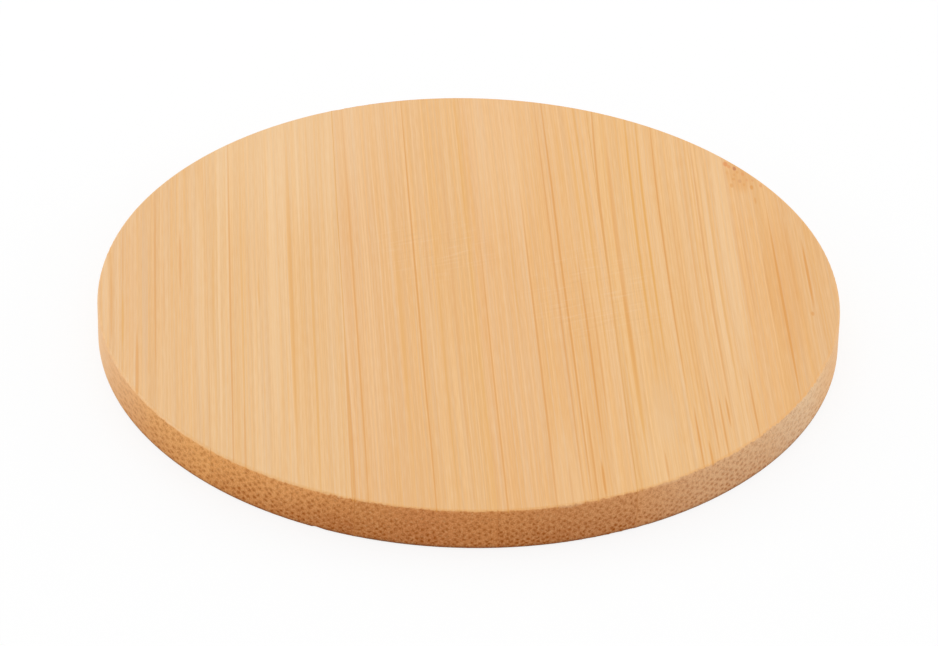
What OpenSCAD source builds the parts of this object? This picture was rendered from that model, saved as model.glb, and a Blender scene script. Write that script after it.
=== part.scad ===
// Round drink coaster, cut from a board of bamboo strips glued edge to edge.
// The strips run along Y and lie side by side along X. The coaster rests on the plane Z = 0,
// with its centre on the Z axis.

/* [Coaster] */
// Diameter of the finished coaster
coaster_d = 100; // [90:1:106]
// Thickness of the finished coaster
coaster_t = 6; // [4:0.5:12]
// Radius of the eased arris round the cup face
top_arris_r = 0.5; // [0.2:0.1:1.5]
// Radius of the eased arris round the underside
bottom_arris_r = 0.5; // [0.2:0.1:1.5]

/* [Board] */
// Width of one planed bamboo strip
strip_w = 18; // [17:0.5:21]
// Distance from the coaster's centre to the board's middle glue line
middle_joint_x = 1; // [-1:0.1:3]
// Thickness of the cured glue between two strips
glue_t = 0.1; // [0.05:0.05:0.3]

/* [Hidden] */

// Facets of the curves when the model is drawn as a mesh
$fn = 180;

coaster_r = coaster_d / 2;
strip_count = 6;
joint_pitch = strip_w + glue_t;

// How far the rough board reaches past the finished outline on every side
board_over = 1;

// Each strip comes from another culm, so each has a tone of its own, from left to right
strip_tones = ["#ecc898", "#edc792", "#e9bf8b", "#e8ba82", "#e9bb7f", "#e4b076"];
glue_tone = "#c58f52";

// Centre of the glue line on the left of strip i, counted from the left-hand edge
function joint_x(i) = middle_joint_x + (i - strip_count / 2) * joint_pitch;

// Half section of the finished coaster: flat faces, a square rim and a rounded arris at each face
module turned_section() {
    polygon([
        [0, 0],
        [coaster_r - bottom_arris_r, 0],
        [coaster_r, bottom_arris_r],
        [coaster_r, coaster_t - top_arris_r],
        [coaster_r - top_arris_r, coaster_t],
        [0, coaster_t]
    ]);
    translate([coaster_r - bottom_arris_r, bottom_arris_r])
        circle(r = bottom_arris_r);
    translate([coaster_r - top_arris_r, coaster_t - top_arris_r])
        circle(r = top_arris_r);
}

// Outline that the cutter leaves, which every strip and glue line follows
module turned_outline() {
    rotate_extrude()
        turned_section();
}

// Slab of the rough board between two places along X
module board_slab(x_from, x_to) {
    translate([x_from, -coaster_r - board_over, -board_over])
        cube([x_to - x_from, coaster_d + 2 * board_over, coaster_t + 2 * board_over]);
}

// One bamboo strip, cut to the coaster's outline
module strip(i) {
    color(strip_tones[i])
        intersection() {
            turned_outline();
            board_slab(joint_x(i) + glue_t / 2, joint_x(i + 1) - glue_t / 2);
        }
}

// Cured glue between strip i - 1 and strip i, flush with both faces and the rim
module glue_line(i) {
    color(glue_tone)
        intersection() {
            turned_outline();
            board_slab(joint_x(i) - glue_t / 2, joint_x(i) + glue_t / 2);
        }
}

strip(0);  // strip_left_edge
strip(1);  // strip_left_outer
strip(2);  // strip_left_inner
strip(3);  // strip_right_inner
strip(4);  // strip_right_outer
strip(5);  // strip_right_edge
glue_line(1);  // glue_left_edge
glue_line(2);  // glue_left
glue_line(3);  // glue_middle
glue_line(4);  // glue_right
glue_line(5);  // glue_right_edge
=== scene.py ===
import math

import bpy
from mathutils import Matrix, Vector


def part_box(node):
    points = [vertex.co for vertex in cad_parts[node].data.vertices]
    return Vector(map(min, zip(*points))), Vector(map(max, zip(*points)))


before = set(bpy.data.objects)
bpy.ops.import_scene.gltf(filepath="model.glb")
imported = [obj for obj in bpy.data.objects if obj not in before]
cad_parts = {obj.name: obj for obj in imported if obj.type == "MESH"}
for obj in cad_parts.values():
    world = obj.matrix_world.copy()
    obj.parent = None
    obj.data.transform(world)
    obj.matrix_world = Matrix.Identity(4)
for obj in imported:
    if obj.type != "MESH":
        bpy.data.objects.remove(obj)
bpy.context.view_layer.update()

# The six bamboo strips. Each is a slat split from the wall of a culm, planed flat with the culm's
# inner side up, and glued edge to edge with its neighbours into a board. A cutter then takes the
# round outline through all six, a second one eases both arrises, and the whole is fine sanded.

# The patterns are laid out in millimetres, with X across the strips, Y along the grain and Z up
MM = 1000.0
TOP = 6.0

# Fibre bundles stand in staggered rows across the culm wall, this far from one row to the next in
# the middle of the wall
ROW_PITCH = 0.46
# The rows close up towards the culm's skin, which is below. They follow this power of the height
# over the place where they would meet, this far under the coaster, and the last value keeps
# ROW_PITCH true in the middle of the wall.
ROW_CROWDING = 0.75
ROWS_MEET = 1.5
ROW_SPREAD = 0.96
# How far a bundle may stand off its place, from 0 to 1, and the radius at which its dot has faded
BUNDLE_SCATTER = 0.5
BUNDLE_RADIUS = 0.42
# The dots' tone, two heights, and how strong the dots are at each
BUNDLE = "#a05200"
DOT_HEIGHTS = (5.5, 0.7)
DOT_STRENGTHS = (0.47, 1.1)
# Size of the patches in which the dots are fainter or stronger, and what their strength is
# multiplied by in each
PATCH = 3.5
PATCH_STRENGTHS = (0.75, 1.1)
# Pith cells between the bundles, drawn as a mottle coarser than the real cells, which are too fine
# to show: its size and weight, and the noise levels at which each tone starts and is full
MOTTLE = 0.22
MOTTLE_WEIGHT = 0.42
MOTTLE_TONES = ((0.5, 0.8, "#eabb84"), (0.5, 0.2, "#7e3e10"))

# End grain is darker and redder lower down, partly its own tone nearer the culm's skin and partly
# painted shade at the foot of the rim: the tone, and the heights at which that starts and is full
REDDER = "#9a4a1a"
REDDER_HEIGHTS = (5.4, 0.2)
# Its last millimetre is brown, partly crowded bundles near the skin and partly painted shade under
# the lower arris, and the very edge is a dull dark line of painted contact shadow: tone, both
# heights and weight
FOOT_BROWN_AND_PAINTED_SHADE = (("#823e07", 1.1, 0.3, 0.22), ("#5e4630", 0.75, 0.25, 0.5))

# How far the rim faces along the fibres, from 0 at the coaster's sides to 1 at its ends, where the
# end grain starts to show, and where it shows in full
FACING_ALONG = (0.05, 0.6)
# How far below the upper face it starts, in the middle and at the left, where it starts lower, and
# the two places in X between which that changes
STARTS_DOWN = (0.12, 0.4)
STARTS_LOWER_BETWEEN = (-18.0, -44.0)
# Size, depth and softness of the nibbles along its upper edge, and the height over which it comes
# in from the underside
NIBBLE = 0.6
NIBBLE_DEPTH = 0.3
NIBBLE_SOFTNESS = 0.08
LOWER_ARRIS = 0.12
# A painted highlight runs along the arris just above the end grain, as a warmer line: tone, reach
# and weight
PAINTED_ARRIS_HIGHLIGHT = "#f2ac5c"
PAINTED_ARRIS_HIGHLIGHT_REACH = 0.3
PAINTED_ARRIS_HIGHLIGHT_WEIGHT = 0.35

# Size of the patches over which the grain wanders, and its whole swing across and upwards
WANDER = (7, 40, 7)
WANDER_ACROSS = 0.3
WANDER_UP = 1.6

# Width across and length along the grain of the patterns in a face, and how much their finer parts
# count. A single fibre, about 0.02 mm wide, is too fine to show, so the two finest patterns are
# drawn as coarse as they need to be.
FLECK = (0.13, 3.0)
FIBRE = (0.22, 60.0)
BAND = (1.3, 90.0)
BROAD = (6.0, 160.0)
LINE_ROUGHNESS = 0.55

# Colours of the fibres that come up in a face
FIBRE_COLOURS = {
    "pale": "#f5d4a8",
    "honey": "#e5a751",
    "vivid": "#f7c27c",
    "dull": "#dcb58c",
    "brown": "#de9844",
    "stain": "#e1924c",
    "scar": "#c0703a",
    "skin": "#e8be8c",
}
# Share of the brown fibres in the underside, where the lines are palest and darkest
UNDERSIDE_SHARES = (0.1, 0.6)

# A fibre bundle that comes up in the upper face is a long thin lens. From its middle it reaches
# these shares of its listed width and length, and this deep, and the core has its full colour.
STREAK_HALF_WIDTH = 0.6
STREAK_HALF_LENGTH = 0.55
STREAK_DEPTH = 0.5
STREAK_CORE = 0.5

# Sanding marks across the grain: their angle to X, size and weight, the noise levels at which each
# tone starts and is full, the middle and reach of the patches that show them, and the share of that
# reach in which they are strongest
SANDING_ANGLE = math.radians(19)
RIPPLE = (4.0, 0.42, 1.0)
RIPPLE_WEIGHT = 0.075
RIPPLE_TONES = ((0.58, 0.8, "#fff4e0"), (0.42, 0.2, "#b88850"))
SANDED = (((-4, 11, 6), (12, 12, 0.3)), ((17, -1, 6), (14, 17, 0.3)))
SANDED_CORE = 0.2

# Roughness and gloss of a sanded face and of end grain, the refractive index of plant fibre, and
# the depth and strength of the relief of fibres and bundles
ROUGHNESS = (0.55, 0.8)
GLOSS = (0.5, 0.15)
FIBRE_IOR = 1.5
RELIEF_DEPTH = 0.02
RELIEF_STRENGTH = 0.5

# Each strip: its ground colour from left to right, the same of its end grain, how much redder that
# is at its foot on the left and on the right, how far apart its bundles stand in a row and how
# strong they show, how its grain leans and bows in X over Y, where in the noise its pattern starts,
# and the fibres that show in its upper face, as X, the two ends in Y, width, colour and weight
STRIPS = {
    "strip_left_edge": {
        "ground": ("#e6b57e", "#e6b67c"), "end": ("#e4b386", "#e4a766", "#e6a45f"),
        "foot": (0.32, 0.1), "pitch": 1.38, "dots": 0.76, "lean": 0.0, "bow": 0.0, "seed": 3.1,
        "streaks": [
            (-48.9, -14, 16, 0.9, "pale", 0.3),
            (-48.1, -12, 10, 0.3, "brown", 0.4),
            (-46.6, -13, 2, 0.35, "honey", 0.6),
            (-46.6, 1, 18, 0.3, "brown", 0.22),
            (-45.5, -22, 22, 1.4, "brown", 0.17),
            (-44.7, -32, -6, 0.45, "brown", 0.6),
            (-43.6, -24, 26, 0.9, "dull", 0.3),
            (-42.2, -22, 29, 0.3, "brown", 0.5),
            (-41.0, -12, 10, 0.3, "brown", 0.25),
            (-40.0, -28, 29, 0.4, "honey", 0.2),
            (-38.8, 0, 17, 0.3, "brown", 0.5),
            (-37.5, -26, -9, 0.3, "pale", 0.2),
            (-37.4, 16, 31, 0.3, "pale", 0.2),
            (-36.2, -33, 33, 1.2, "pale", 0.25),
            (-24.0, 12, 110, 36.0, "pale", 0.22),
        ],
    },
    "strip_left_outer": {
        "ground": ("#e8b97f", "#e8b87e"), "end": ("#e6a35e", "#e5a05e", "#d79052"),
        "foot": (0.24, 0.5), "pitch": 1.34, "dots": 0.92, "lean": 0.004, "bow": 0.0, "seed": 17.7,
        "streaks": [
            (-34.5, -15, 15, 0.3, "honey", 0.35),
            (-33.6, -45, 45, 0.35, "pale", 0.36),
            (-32.15, -60, 60, 0.25, "brown", 0.6),
            (-30.55, -39, 55, 0.35, "honey", 0.5),
            (-30.6, -56, -22, 0.3, "brown", 0.5),
            (-29.6, -14, 16, 0.3, "brown", 0.2),
            (-28.3, -4, 6, 0.3, "honey", 0.45),
            (-28.05, 11, 40, 0.35, "pale", 0.15),
            (-26.3, -42, 42, 1.5, "pale", 0.26),
            (-24.0, -40, 48, 0.6, "honey", 0.58),
            (-23.9, -44, 40, 0.3, "brown", 0.2),
            (-22.6, 9, 50, 0.35, "pale", 0.32),
            (-21.1, -60, 60, 0.38, "honey", 0.58),
            (-18.8, -60, -9, 0.4, "pale", 0.22),
            (-17.1, -62, -7, 0.26, "brown", 0.62),
            (-17.2, 12, 38, 0.25, "honey", 0.7),
            (-24.0, 12, 110, 36.0, "pale", 0.22),
        ],
    },
    "strip_left_inner": {
        "ground": ("#e6b176", "#e7b271"), "end": ("#d79153", "#d48a50", "#d78f52"),
        "foot": (0.34, 0.13), "pitch": 1.34, "dots": 1.0, "lean": -0.004, "bow": 0.0, "seed": 29.3,
        "streaks": [
            (-17.1, -62, -7, 0.26, "brown", 0.62),
            (-15.45, -70, 70, 0.25, "brown", 0.62),
            (-13.05, -46, 10, 0.3, "pale", 0.2),
            (-11.8, -60, 60, 0.25, "pale", 0.3),
            (-9.4, -55, 60, 0.5, "honey", 0.42),
            (-6.95, -80, 66, 0.26, "brown", 0.74),
            (-5.25, -6, 18, 0.3, "brown", 0.3),
            (-4.1, -60, 60, 0.35, "honey", 0.48),
            (-2.05, -60, 50, 0.3, "brown", 0.32),
            (0.1, 4, 49, 0.3, "pale", 0.15),
            (0.62, -60, 60, 0.3, "honey", 0.52),
            (-24.0, 12, 110, 36.0, "pale", 0.22),
        ],
    },
    "strip_right_inner": {
        "ground": ("#e7af70", "#eab575"), "end": ("#d78f52", "#d28e56", "#d99a64"),
        "foot": (0.27, 0.25), "pitch": 1.34, "dots": 1.0, "lean": -0.004, "bow": 0.0, "seed": 41.9,
        "streaks": [
            (2.15, -80, 22, 0.25, "brown", 0.68),
            (3.3, 4, 16, 1.2, "brown", 0.12),
            (3.4, 4, 80, 1.0, "honey", 0.14),
            (4.75, -60, 40, 0.35, "pale", 0.18),
            (6.3, -12, 33, 0.3, "honey", 0.5),
            (8.45, -78, 36, 0.27, "brown", 0.72),
            (10.45, -52, -39, 0.3, "brown", 0.55),
            (10.8, -2, 46, 0.3, "honey", 0.45),
            (12.0, -60, 60, 0.3, "brown", 0.62),
            (13.0, -56, 62, 0.3, "brown", 0.8),
            (13.75, -54, -24, 0.3, "brown", 0.66),
            (14.6, 19, 48, 0.3, "honey", 0.35),
            (14.8, -48, -39, 0.35, "brown", 0.9),
            (15.3, -40, 10, 0.34, "brown", 0.85),
            (16.4, -2, 46, 0.5, "honey", 0.5),
            (16.4, -32, 2, 0.3, "brown", 0.5),
            (17.45, -24, 60, 0.35, "honey", 0.6),
            (18.95, -56, -16, 0.25, "brown", 0.6),
            (15.0, -50, 48, 4.0, "honey", 0.10),
            (6.6, 8, 98, 11.0, "pale", 0.14),
            (10.0, -74, -26, 3.6, "pale", 0.17),
        ],
    },
    "strip_right_outer": {
        "ground": ("#eab571", "#e9b577"), "end": ("#d99a64", "#dfae80", "#dfb489"),
        "foot": (0.12, 0.14), "pitch": 1.38, "dots": 0.7, "lean": 0.004, "bow": 0.00025,
        "seed": 53.3,
        "streaks": [
            (19.35, -56, -16, 0.25, "brown", 0.3),
            (19.15, -20, 58, 0.33, "brown", 0.74),
            (20.85, -40, 4, 0.7, "honey", 0.7),
            (20.9, -30, 44, 0.6, "brown", 0.55),
            (23.1, -45, -37, 0.28, "brown", 0.75),
            (23.7, -26, 52, 0.38, "honey", 0.9),
            (25.2, -26, 50, 0.34, "honey", 0.95),
            (27.1, -42, -30, 0.3, "pale", 0.18),
            (27.25, -30, 52, 0.28, "brown", 0.8),
            (27.8, -43, -27, 0.28, "brown", 0.85),
            (28.8, -36, 34, 0.25, "brown", 0.3),
            (29.3, -36, 34, 0.25, "brown", 0.33),
            (29.0, -42, -35, 0.28, "brown", 0.8),
            (30.15, -41, -18, 0.28, "brown", 0.62),
            (31.0, -24, 42, 0.3, "brown", 0.25),
            (31.3, -41, -24, 0.28, "brown", 0.68),
            (32.2, -33, -25, 0.28, "brown", 0.82),
            (32.65, -36, 44, 0.32, "brown", 0.58),
            (33.6, -32, 40, 0.75, "pale", 0.34),
            (34.1, -38, 40, 0.3, "honey", 0.38),
            (35.75, -37, -19, 0.28, "brown", 0.8),
            (36.0, -28, 66, 2.0, "pale", 0.26),
            (24.0, -37, -20, 3.6, "skin", 0.3),
            (23.4, -66, -24, 5.0, "pale", 0.15),
        ],
    },
    "strip_right_edge": {
        "ground": ("#eab373", "#e3ad6e"), "end": ("#dfb489", "#e5c49e", "#e2b98c"),
        "foot": (0.14, 0.07), "pitch": 1.40, "dots": 0.5, "lean": 0.0, "bow": 0.0, "seed": 67.1,
        "streaks": [
            (37.4, -20, 20, 0.3, "brown", 0.3),
            (38.2, -12, 19, 0.3, "brown", 0.35),
            (40.6, -10, 10, 0.35, "brown", 0.4),
            (42.2, -30, 19, 0.42, "brown", 0.85),
            (44.2, -8, 18, 0.35, "brown", 0.32),
            (46.2, -6, 12, 0.38, "brown", 0.88),
            (42.8, -20, 20, 5.0, "brown", 0.18),
            (39.3, 23.4, 32.6, 3.2, "brown", 0.32),
            (37.7, 30.4, 31.9, 0.7, "stain", 0.9),
            (38.1, 29.9, 31.0, 0.5, "stain", 0.7),
            (37.7, 28.3, 29.5, 0.4, "brown", 0.3),
            (38.8, 29.3, 30.5, 0.5, "scar", 0.8),
            (39.1, 28.5, 29.4, 0.35, "brown", 0.6),
            (39.8, 27.9, 29.0, 0.45, "stain", 0.55),
            (39.2, 26.1, 27.2, 0.5, "scar", 0.3),
            (38.4, 26.8, 27.6, 0.5, "brown", 0.6),
            (38.6, 27.9, 28.7, 0.4, "brown", 0.5),
            (40.2, 26.5, 27.4, 0.4, "stain", 0.4),
            (38.0, 24.9, 26.2, 0.5, "brown", 0.6),
            (39.7, 25.3, 26.2, 0.4, "brown", 0.5),
            (40.7, 24.3, 25.7, 0.5, "brown", 0.85),
            (41.0, 26.4, 27.2, 0.4, "stain", 0.4),
            (42.0, 24.9, 25.9, 0.4, "stain", 0.5),
            (39.5, 16.5, 24.5, 2.6, "skin", 0.15),
            (40.9, 20.6, 22.6, 0.3, "brown", 0.6),
            (45.85, -7.1, -5.9, 0.45, "brown", 0.7),
        ],
    },
}


def linear(hex_colour):
    """Turns an sRGB colour such as #c08040 into the linear values that a shader takes."""
    parts = [int(hex_colour[i:i + 2], 16) / 255 for i in (1, 3, 5)]
    return (*[p / 12.92 if p <= 0.04045 else ((p + 0.055) / 1.055) ** 2.4 for p in parts], 1.0)


def add_node(tree, kind, inputs, **settings):
    """Adds a node with its settings. Its inputs, by place or by name, take a value, a socket, or
    another node's first output."""
    node = tree.nodes.new("ShaderNode" + kind)
    for name, value in settings.items():
        setattr(node, name, value)
    used = [socket for socket in node.inputs if socket.enabled]
    for key, value in inputs.items() if isinstance(inputs, dict) else enumerate(inputs):
        socket = used[key] if isinstance(key, int) else node.inputs[key]
        if isinstance(value, bpy.types.Node):
            value = next(output for output in value.outputs if output.enabled)
        if isinstance(value, bpy.types.NodeSocket):
            tree.links.new(value, socket)
        else:
            socket.default_value = value
    return node


def planed_bamboo(name, edges, ground, end, foot, pitch, dots, lean, bow, seed, streaks):
    """Bamboo with fine sanded faces: pale, matt, with straight darker fibres along the grain, and
    rows of brown dots where the rim cuts the fibre bundles across. The fibres of the faces and the
    dots of the rim are two patterns in one solid, and aren't matched one by one."""
    material = bpy.data.materials.new(name)
    material.use_nodes = True
    tree = material.node_tree
    tree.nodes.clear()
    coordinates = add_node(tree, "TexCoord", [])
    place = add_node(tree, "VectorMath", {"Vector": coordinates.outputs["Object"], "Scale": MM},
                     operation="SCALE")
    x, y, z = add_node(tree, "SeparateXYZ", [place]).outputs
    facing = add_node(tree, "SeparateXYZ", [coordinates.outputs["Normal"]])

    def tones_across(tones):
        """Colours that follow each other evenly from the strip's left edge to its right."""
        step = (edges[1] - edges[0]) / (len(tones) - 1)
        colour = linear(tones[0])
        for i, tone in enumerate(tones[1:]):
            amount = add_node(tree, "MapRange", [x, edges[0] + i * step, edges[0] + (i + 1) * step])
            colour = add_node(tree, "Mix", [amount, colour, linear(tone)], data_type="RGBA")
        return colour

    def cloudy(where, size, shift=(0, 0, 0), detail=1.0, roughness=0.5):
        """Noise in patches of a size in millimetres."""
        scaled = add_node(tree, "VectorMath", [where, [1 / side for side in size], shift],
                          operation="MULTIPLY_ADD")
        return add_node(tree, "TexNoise", {
            "Vector": scaled, "Scale": 1.0, "Detail": detail, "Roughness": roughness,
        })

    def way_out(where, middle, reach):
        """How far out of a lens a point lies, with 1 at the lens's surface."""
        scaled = add_node(tree, "VectorMath", [
            where, [1 / side for side in reach], [-at / side for at, side in zip(middle, reach)],
        ], operation="MULTIPLY_ADD")
        return add_node(tree, "VectorMath", [scaled], operation="LENGTH")

    # End grain shows on what lies across the fibres. It starts on the upper arris, with a nibbled
    # edge, and ends on the lower one.
    level = add_node(tree, "VectorMath", [coordinates.outputs["Normal"], (1, 1, 0)],
                     operation="MULTIPLY")
    sideways = add_node(tree, "VectorMath", [level], operation="LENGTH")
    across = add_node(tree, "Math", [facing.outputs["Y"]], operation="ABSOLUTE")
    across = add_node(tree, "Math", [across, sideways], operation="DIVIDE")
    across = add_node(tree, "MapRange", [across, *FACING_ALONG], interpolation_type="SMOOTHSTEP")
    starts = add_node(tree, "MapRange", [x, *STARTS_LOWER_BETWEEN, *[TOP - down for down in STARTS_DOWN]])
    starts = add_node(tree, "Math", [starts, NIBBLE_DEPTH / 2], operation="ADD")
    nibbles = cloudy(place, [NIBBLE] * 3)
    starts = add_node(tree, "Math", [nibbles, -NIBBLE_DEPTH, starts], operation="MULTIPLY_ADD")
    above = add_node(tree, "Math", [z, starts], operation="SUBTRACT")
    below = add_node(tree, "MapRange", [above, NIBBLE_SOFTNESS, -NIBBLE_SOFTNESS],
                     interpolation_type="SMOOTHSTEP")
    off_foot = add_node(tree, "MapRange", [z, 0.0, LOWER_ARRIS])
    on_rim = add_node(tree, "Math", [below, off_foot], operation="MULTIPLY")
    end_grain = add_node(tree, "Math", [across, on_rim], operation="MULTIPLY")

    # The grain leans and bows a little, and wanders by a tenth of a millimetre or two
    leaning = add_node(tree, "Math", [y, -lean, x], operation="MULTIPLY_ADD")
    squared = add_node(tree, "Math", [y, y], operation="MULTIPLY")
    bowed = add_node(tree, "Math", [squared, -bow, leaning], operation="MULTIPLY_ADD")
    wander = cloudy(place, WANDER, (seed, 0, 0)).outputs["Color"]
    wander = add_node(tree, "VectorMath", [wander, (0.5, 0.5, 0.5)], operation="SUBTRACT")
    wander_x, wander_z, _ = add_node(tree, "SeparateXYZ", [wander]).outputs
    grain_x = add_node(tree, "Math", [wander_x, WANDER_ACROSS, bowed], operation="MULTIPLY_ADD")
    grain_z = add_node(tree, "Math", [wander_z, WANDER_UP, z], operation="MULTIPLY_ADD")
    fibres = add_node(tree, "CombineXYZ", [grain_x, y, z])

    # Bundles, cut across: points of a staggered grid, turned an eighth so that it is square, then
    # the distance to the nearest one, back in millimetres
    depth = add_node(tree, "Math", [grain_z, ROWS_MEET], operation="ADD")
    depth = add_node(tree, "Math", [depth, ROW_CROWDING], operation="POWER")
    row = add_node(tree, "Math", [depth, ROW_SPREAD / ROW_PITCH], operation="MULTIPLY")
    right = add_node(tree, "Math", [grain_x, 1 / pitch, row], operation="MULTIPLY_ADD")
    left = add_node(tree, "Math", [grain_x, -1 / pitch, row], operation="MULTIPLY_ADD")
    grid = add_node(tree, "CombineXYZ", [right, left])
    spot = add_node(tree, "TexVoronoi", {
        "Vector": grid, "Scale": 1.0, "Randomness": BUNDLE_SCATTER,
    }, voronoi_dimensions="2D")
    off_spot = add_node(tree, "VectorMath", [grid, spot.outputs["Position"]], operation="SUBTRACT")
    off_x = add_node(tree, "VectorMath", [off_spot, (pitch / 2, -pitch / 2, 0)],
                     operation="DOT_PRODUCT")
    off_z = add_node(tree, "VectorMath", [off_spot, (ROW_PITCH, ROW_PITCH, 0)],
                     operation="DOT_PRODUCT")
    off_axis = add_node(tree, "CombineXYZ", [off_x, off_z])
    radius = add_node(tree, "VectorMath", [off_axis], operation="LENGTH")
    bundles = add_node(tree, "MapRange", [radius, 0.0, BUNDLE_RADIUS, 1.0, 0.0],
                       interpolation_type="SMOOTHSTEP")

    def lines(size, salt, detail=1.0):
        """Noise drawn out along the grain."""
        width, length = size
        return cloudy(fibres, (width, length, width), (seed + salt, salt, 0), detail,
                      LINE_ROUGHNESS)

    # Face: the ground, then bands, single fibres and short flecks, each with the noise levels at
    # which it starts and is full, its weight and its tone
    fleck = lines(FLECK, 5.0, 0.0)
    fibre = lines(FIBRE, 0.0)
    tint = lines(FIBRE, 13.0)
    band = lines(BAND, 9.0)
    broad = lines(BROAD, 2.0, 0.0)
    face = tones_across(ground)
    for pattern, start, full, weight, tone in (
            (broad, 0.5, 0.3, 0.12, "pale"), (broad, 0.5, 0.7, 0.08, "honey"),
            (band, 0.5, 0.75, 0.25, "honey"), (band, 0.5, 0.25, 0.20, "pale"),
            (fibre, 0.5, 0.8, 0.37, "honey"), (fibre, 0.5, 0.2, 0.3, "pale"),
            (tint, 0.5, 0.8, 0.38, "dull"), (tint, 0.5, 0.2, 0.38, "vivid"),
            (fleck, 0.5, 0.85, 0.15, "brown"), (fleck, 0.5, 0.15, 0.15, "pale")):
        amount = add_node(tree, "MapRange", [pattern, start, full, 0.0, weight])
        face = add_node(tree, "Mix", [amount, face, linear(FIBRE_COLOURS[tone])],
                        data_type="RGBA")

    # The underside is nearer the culm's skin, where the bundles are crowded and dark
    underside = add_node(tree, "MapRange", [facing.outputs["Z"], -0.3, -0.9, 0.0, 1.0])
    lower = add_node(tree, "MapRange", [fibre, 0.35, 0.75, *UNDERSIDE_SHARES])
    lower = add_node(tree, "Math", [lower, underside], operation="MULTIPLY")
    face = add_node(tree, "Mix", [lower, face, linear(FIBRE_COLOURS["brown"])], data_type="RGBA")

    # The painted highlight along the arris, a warmer line
    arris_highlight = add_node(tree, "MapRange", [above, PAINTED_ARRIS_HIGHLIGHT_REACH, 0.0, 0.0, PAINTED_ARRIS_HIGHLIGHT_WEIGHT])
    arris_highlight = add_node(tree, "Math", [arris_highlight, across], operation="MULTIPLY")
    face = add_node(tree, "Mix", [arris_highlight, face, linear(PAINTED_ARRIS_HIGHLIGHT)], data_type="RGBA")

    # End grain: darker and redder towards the culm's skin, below, partly its own tone and partly
    # painted shade at the foot of the rim, with a brown last millimetre, partly crowded bundles and
    # partly painted shade, and a dark line of painted contact shadow at the very edge. The bundles
    # show as soft dots, which stand out more the nearer they are to the skin, with a fine mottle of
    # pith cells between them
    ends = tones_across(end)
    # Darker and redder towards the foot, partly painted shade
    reddest = add_node(tree, "MapRange", [x, *edges, *foot])
    redder = add_node(tree, "MapRange", [z, *REDDER_HEIGHTS, 0.0, reddest],
                      interpolation_type="SMOOTHSTEP")
    ends = add_node(tree, "Mix", [redder, ends, linear(REDDER)], data_type="RGBA")
    # Brown foot, partly painted shade, and a dark edge line of painted contact shadow
    for tone, start, full, weight in FOOT_BROWN_AND_PAINTED_SHADE:
        amount = add_node(tree, "MapRange", [z, start, full, 0.0, weight],
                          interpolation_type="SMOOTHSTEP")
        ends = add_node(tree, "Mix", [amount, ends, linear(tone)], data_type="RGBA")
    patches = cloudy(place, [PATCH] * 3, (seed, 0, 0))
    patches = add_node(tree, "MapRange", [patches, 0.35, 0.65, *PATCH_STRENGTHS])
    strength = add_node(tree, "MapRange", [z, *DOT_HEIGHTS, *[s * dots for s in DOT_STRENGTHS]])
    spots = add_node(tree, "Math", [bundles, strength], operation="MULTIPLY")
    spots = add_node(tree, "Math", [spots, patches], operation="MULTIPLY")
    ends = add_node(tree, "Mix", [spots, ends, linear(BUNDLE)], data_type="RGBA")
    mottle = cloudy(place, [MOTTLE] * 3, (0, seed, 0))
    for start, full, tone in MOTTLE_TONES:
        amount = add_node(tree, "MapRange", [mottle, start, full, 0.0, MOTTLE_WEIGHT])
        ends = add_node(tree, "Mix", [amount, ends, linear(tone)], data_type="RGBA")
    colour = add_node(tree, "Mix", [end_grain, face, ends], data_type="RGBA")

    # Fibre bundles that come up in the upper face
    for at, start, stop, width, tone, weight in streaks:
        middle = Vector((at, (start + stop) / 2, TOP))
        reach = Vector((STREAK_HALF_WIDTH * width, STREAK_HALF_LENGTH * (stop - start),
                        STREAK_DEPTH))
        amount = add_node(tree, "MapRange", [
            way_out(fibres, middle, reach), STREAK_CORE, 1.0, weight, 0.0,
        ], interpolation_type="SMOOTHSTEP")
        colour = add_node(tree, "Mix", [amount, colour, linear(FIBRE_COLOURS[tone])],
                          data_type="RGBA")

    # Sanding marks: short ripples across the grain, in two patches of the upper face
    swung = add_node(tree, "VectorRotate", {"Vector": place, "Angle": -SANDING_ANGLE},
                     rotation_type="Z_AXIS")
    ripple = cloudy(swung, RIPPLE, detail=0.0)
    for middle, reach in SANDED:
        sanded = add_node(tree, "MapRange", [
            way_out(place, middle, reach), SANDED_CORE, 1.0, 1.0, 0.0,
        ], interpolation_type="SMOOTHSTEP")
        for start, full, tone in RIPPLE_TONES:
            amount = add_node(tree, "MapRange", [ripple, start, full, 0.0, RIPPLE_WEIGHT])
            amount = add_node(tree, "Math", [amount, sanded], operation="MULTIPLY")
            colour = add_node(tree, "Mix", [amount, colour, linear(tone)], data_type="RGBA")

    rough = add_node(tree, "Mix", [end_grain, *ROUGHNESS])
    gloss = add_node(tree, "Mix", [end_grain, *GLOSS])
    relief = add_node(tree, "Mix", [end_grain, fibre, bundles])
    bump = add_node(tree, "Bump", {
        "Height": relief, "Strength": RELIEF_STRENGTH, "Distance": RELIEF_DEPTH / MM,
    }, invert=True)
    surface = add_node(tree, "BsdfPrincipled", {
        "Base Color": colour, "Roughness": rough, "Specular IOR Level": gloss, "Normal": bump,
        "IOR": FIBRE_IOR,
    })
    add_node(tree, "OutputMaterial", {"Surface": surface})
    return material


for node, look in STRIPS.items():
    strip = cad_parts[node]
    strip.data.materials.clear()
    low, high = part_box(node)
    edges = (low[0] * MM, high[0] * MM)
    name = node.replace("strip", "planed_bamboo")
    strip.data.materials.append(planed_bamboo(name, edges, **look))

# The five glue lines. A film of wood glue a tenth of a millimetre thick holds each pair of strips,
# cured to the bamboo's own tone or an amber a little darker, and sanded flush with it.

# Size of the thick and thin patches of a film
FILM_PATCH = 9.0
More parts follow.
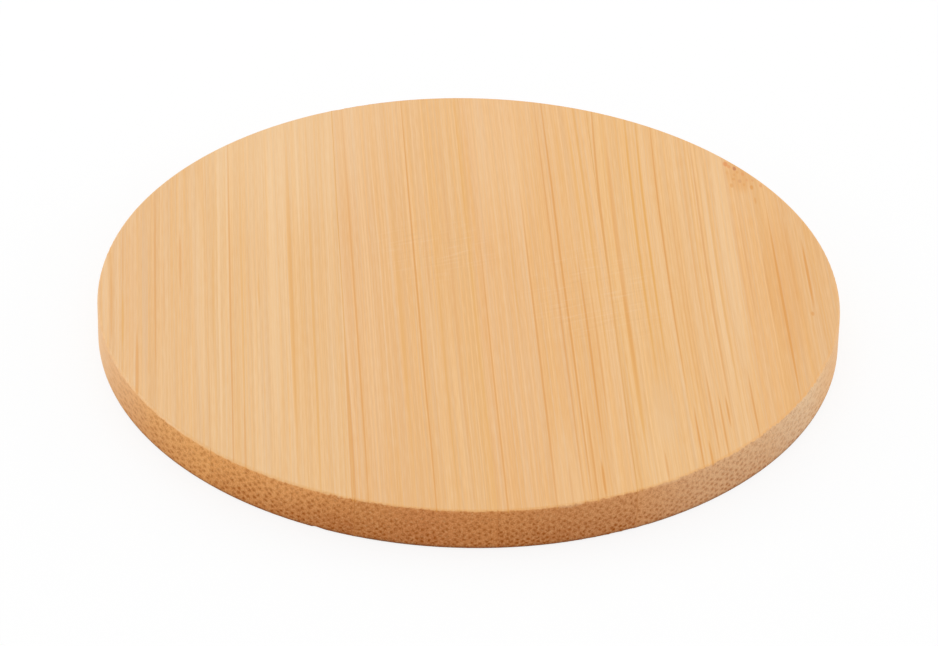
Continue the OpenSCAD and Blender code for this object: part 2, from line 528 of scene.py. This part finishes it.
# Each film's tones: in a face where it is thick, in a face where it is thin, and at the rim
GLUE_TONES = {
    "glue_left_edge": ("#e1ac70", "#e8b67a", "#cf8d4c"),
    "glue_left": ("#dca052", "#e6ae66", "#c47e40"),
    "glue_middle": ("#e2ab68", "#e8b476", "#cb8247"),
    "glue_right": ("#dca052", "#e4aa60", "#ca8850"),
    "glue_right_edge": ("#e4b078", "#eabb86", "#d4a678"),
}
# Its roughness, its gloss in a face and at the rim, where it was cut and not polished, and the
# refractive index of wood glue
GLUE_ROUGHNESS = 0.55
GLUE_GLOSS = (0.5, 0.15)
GLUE_IOR = 1.5


def cured_glue(name, tones):
    """A cured film of wood glue, sanded: amber, and as matt as the bamboo round it. The eye sees it
    as a hair line at a joint, or not at all."""
    material = bpy.data.materials.new(name)
    material.use_nodes = True
    tree = material.node_tree
    tree.nodes.clear()
    coordinates = add_node(tree, "TexCoord", [])
    place = add_node(tree, "VectorMath", {
        "Vector": coordinates.outputs["Object"], "Scale": MM / FILM_PATCH,
    }, operation="SCALE")
    thick, thin, cut = [linear(tone) for tone in tones]
    thinness = add_node(tree, "TexNoise", {"Vector": place, "Scale": 1.0, "Detail": 2.0})
    thinness = add_node(tree, "MapRange", [thinness, 0.35, 0.65])
    amber = add_node(tree, "Mix", [thinness, thick, thin], data_type="RGBA")
    facing = add_node(tree, "SeparateXYZ", [coordinates.outputs["Normal"]])
    across = add_node(tree, "Math", [facing.outputs["Y"]], operation="ABSOLUTE")
    at_rim = add_node(tree, "MapRange", [across, 0.1, 0.8], interpolation_type="SMOOTHSTEP")
    amber = add_node(tree, "Mix", [at_rim, amber, cut], data_type="RGBA")
    gloss = add_node(tree, "Mix", [at_rim, *GLUE_GLOSS])
    surface = add_node(tree, "BsdfPrincipled", {
        "Base Color": amber, "Roughness": GLUE_ROUGHNESS, "Specular IOR Level": gloss,
        "IOR": GLUE_IOR,
    })
    add_node(tree, "OutputMaterial", {"Surface": surface})
    return material


for node, tones in GLUE_TONES.items():
    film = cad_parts[node]
    film.data.materials.clear()
    film.data.materials.append(cured_glue(node.replace("glue", "cured_glue"), tones))

# The table top. A plain sheet of matt white paper, wide enough to fill the view, that lies just
# under the coaster and carries its soft shadow.

# Side of the sheet, and how far it lies under the coaster, in metres
SHEET_SIDE = 6.0
UNDER_COASTER = 0.00002
# The paper's tone as the coaster sees it, and as the camera does. Of what the camera sees, this
# share is an even white and the rest takes the shadow.
PAPER = "#e7e7e7"
WHITE = "#ffffff"
EVEN_WHITE = 0.84

half = SHEET_SIDE / 2
corners = [(-half, -half, 0), (half, -half, 0), (half, half, 0), (-half, half, 0)]
floor_mesh = bpy.data.meshes.new("floor")
floor_mesh.from_pydata(corners, [], [(0, 1, 2, 3)])
floor = bpy.data.objects.new("floor", floor_mesh)
floor.location.z = -UNDER_COASTER
bpy.context.scene.collection.objects.link(floor)
# Uncoated paper, pressed smooth: an even white without grain or shine
paper = bpy.data.materials.new("white_paper")
paper.use_nodes = True
tree = paper.node_tree
tree.nodes.clear()
path = add_node(tree, "LightPath", [])
seen = add_node(tree, "Math", [path.outputs["Is Camera Ray"], path.outputs["Is Glossy Ray"]],
                operation="MAXIMUM")
seen = add_node(tree, "Math", [seen, path.outputs["Is Transmission Ray"]], operation="MAXIMUM")
sheet = add_node(tree, "Mix", [seen, linear(PAPER), linear(WHITE)], data_type="RGBA")
lit = add_node(tree, "BsdfDiffuse", {"Color": sheet})
bright = add_node(tree, "Emission", {"Color": linear(WHITE), "Strength": 1.0})
share = add_node(tree, "Math", [seen, EVEN_WHITE], operation="MULTIPLY")
surface = add_node(tree, "MixShader", [share, lit, bright])
add_node(tree, "OutputMaterial", {"Surface": surface})
floor_mesh.materials.append(paper)

# Soft studio light. An even white surround, a faint lamp over the far side, and a low soft panel on
# each side, which lights the ends of the rim.

# Strength of the surround as a light. Where the camera sees it, it is plain white.
SURROUND = 0.857
# Each lamp's place and side in metres, and its power in watts
LAMPS = {
    "overhead": ((-0.05, 0.26, 0.26), 0.2, 0.095),
    "left_panel": ((-0.87, 0.09, 0.23), 0.4, 1.6),
    "right_panel": ((0.87, 0.09, 0.23), 0.4, 1.6),
}

world = bpy.data.worlds.new("surround")
bpy.context.scene.world = world
world.use_nodes = True
tree = world.node_tree
tree.nodes.clear()
path = add_node(tree, "LightPath", [])
seen = add_node(tree, "Math", [path.outputs["Is Camera Ray"], path.outputs["Is Glossy Ray"]],
                operation="MAXIMUM")
seen = add_node(tree, "Math", [seen, path.outputs["Is Transmission Ray"]], operation="MAXIMUM")
strength = add_node(tree, "Mix", [seen, SURROUND, 1.0])
surface = add_node(tree, "Background", {"Color": linear(WHITE), "Strength": strength})
add_node(tree, "OutputWorld", {"Surface": surface})

for name, (where, side, power) in LAMPS.items():
    lamp = bpy.data.objects.new(name, bpy.data.lights.new(name, "AREA"))
    lamp.data.size = side
    lamp.data.energy = power
    lamp.location = where
    lamp.rotation_euler = Vector(where).to_track_quat("Z", "Y").to_euler()
    bpy.context.scene.collection.objects.link(lamp)

# The camera, where the photograph's outline puts it: nearly along the grain, a third of the way up.

# Where it stands round the point that it looks at, in metres, and its sensor and lens, in
# millimetres
VIEW_AZIMUTH = math.radians(-3.75)
VIEW_ELEVATION = math.radians(34.213)
VIEW_DISTANCE = 0.68252
VIEW_ROLL = math.radians(1.2334)
LOOK_AT = Vector((-0.000400, -0.007468, 0.006))
SENSOR_WIDTH = 36.0
FOCAL_LENGTH = 196.06

camera = bpy.data.objects.new("camera", bpy.data.cameras.new("camera"))
camera.data.sensor_width = SENSOR_WIDTH
camera.data.lens = FOCAL_LENGTH
back = Vector((math.sin(VIEW_AZIMUTH) * math.cos(VIEW_ELEVATION),
               -math.cos(VIEW_AZIMUTH) * math.cos(VIEW_ELEVATION), math.sin(VIEW_ELEVATION)))
turn = (-back).to_track_quat("-Z", "Y").to_matrix() @ Matrix.Rotation(VIEW_ROLL, 3, "Z")
camera.matrix_world = Matrix.Translation(LOOK_AT + back * VIEW_DISTANCE) @ turn.to_4x4()
bpy.context.scene.collection.objects.link(camera)
bpy.context.scene.camera = camera
bpy.context.scene.view_settings.view_transform = "Standard"
